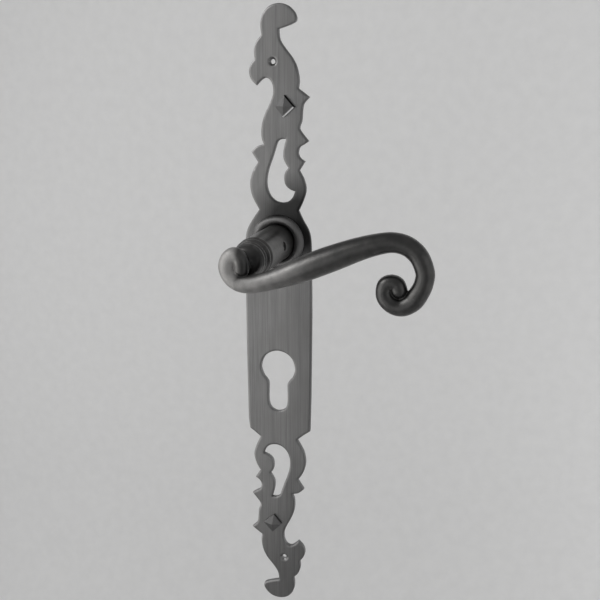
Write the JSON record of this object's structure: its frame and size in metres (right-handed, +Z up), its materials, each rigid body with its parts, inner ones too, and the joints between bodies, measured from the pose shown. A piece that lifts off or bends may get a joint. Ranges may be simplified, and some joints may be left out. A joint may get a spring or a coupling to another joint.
{
  "type": "door lever handle",
  "caption": "Wrought-style lever with a curled tip, turning with spring return on a long scrolled backplate cut for a lock cylinder.",
  "frame": {"origin": "centre of the backplate's back face, which lies against the door", "axes": "+Z up along the plate, +X along the lever towards its tip, +Y into the door"},
  "size_m": [0.105, 0.0944, 0.3326],
  "materials": {
    "plate_iron": "satin brushed, dark grey",
    "dark_iron": "satin, near black",
    "nylon": "matte, black",
    "zinc_steel": "zinc plated",
    "spring_steel": "drawn, oiled"
  },
  "bodies": {
    "plate": {"backplate": "plate_iron", "diamond_stud_upper": "plate_iron", "diamond_stud_lower": "plate_iron", "neck_collar": "plate_iron", "bearing_bush": "nylon", "thrust_washer": "zinc_steel", "spring_cup": "zinc_steel", "return_spring": "spring_steel"},
    "lever": {"lever_handle": "dark_iron", "grub_screw": "spring_steel", "square_spindle": "zinc_steel", "circlip": "spring_steel", "spring_carrier": "zinc_steel"}
  },
  "joints": [
    {"name": "lever_turn", "type": "hinge", "parent": "plate", "child": "lever", "pos_m": [-0.00045, 0, 0.0476], "axis": [0, 1, 0], "range_deg": [0, 45], "stiffness_Nm_per_rad": 0.5, "springref_deg": -28.65, "deforming": ["return_spring"]}
  ]
}
